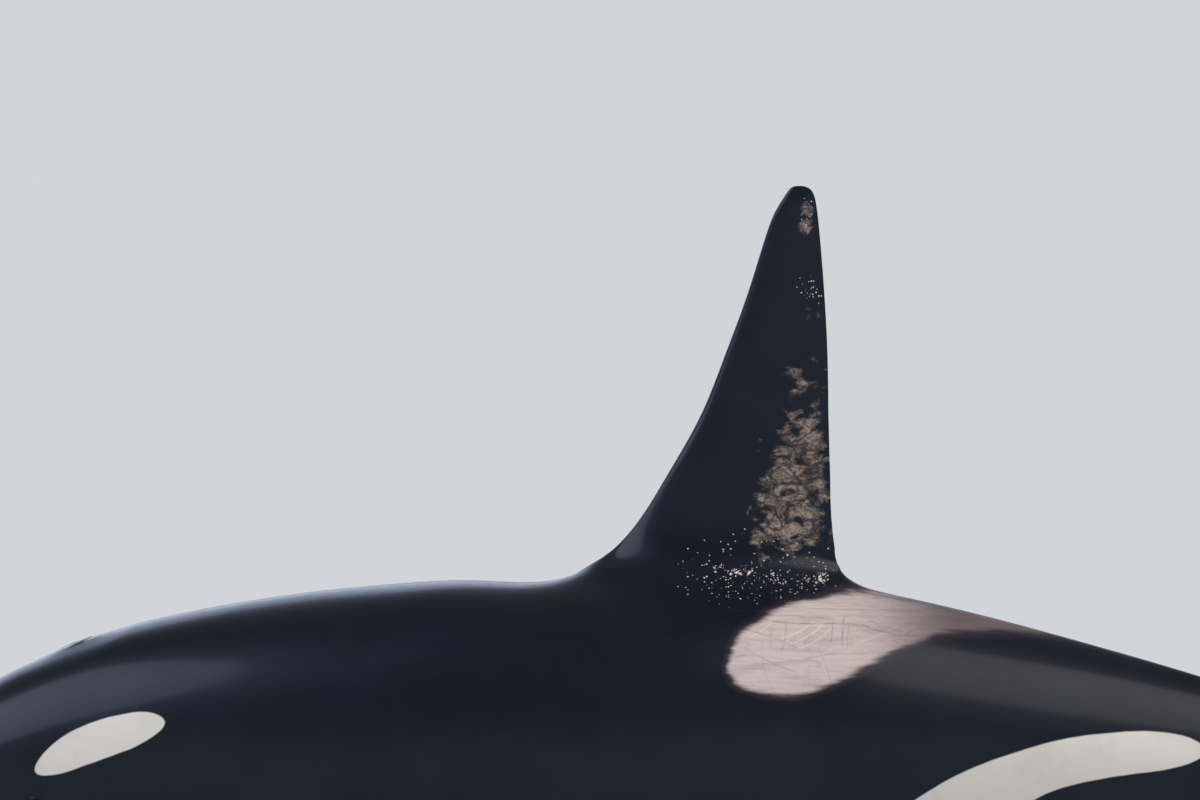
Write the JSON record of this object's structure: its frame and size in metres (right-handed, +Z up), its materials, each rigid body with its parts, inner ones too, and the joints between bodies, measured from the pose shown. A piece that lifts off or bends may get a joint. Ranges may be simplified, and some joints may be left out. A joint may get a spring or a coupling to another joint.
{
  "type": "orca model",
  "caption": "Life-size adult male orca, still in a level glide with a tall upright dorsal fin, held over a flat base by two short rods.",
  "frame": {"origin": "centre of the underside of the stand's base, on the floor, below the animal's centre of mass", "axes": "+X towards the animal's head, +Y towards its left side, +Z up"},
  "size_m": [7.3637, 3.6682, 3.9409],
  "materials": {
    "skin": "wet gloss",
    "eye": "gloss",
    "stand_paint": "satin",
    "stand_steel": "brushed"
  },
  "bodies": {
    "root": {"head": "skin", "lower_jaw": "skin", "chest": "skin", "trunk": "skin", "tail_stock": "skin", "dorsal_fin": "skin", "flipper_left": "skin", "flipper_right": "skin", "fluke_left": "skin", "fluke_right": "skin", "eye_left": "eye", "eye_right": "eye", "stand_base": "stand_paint", "stand_rod_front": "stand_steel", "stand_collar_front": "stand_steel", "stand_rod_rear": "stand_steel", "stand_collar_rear": "stand_steel"}
  },
  "joints": []
}
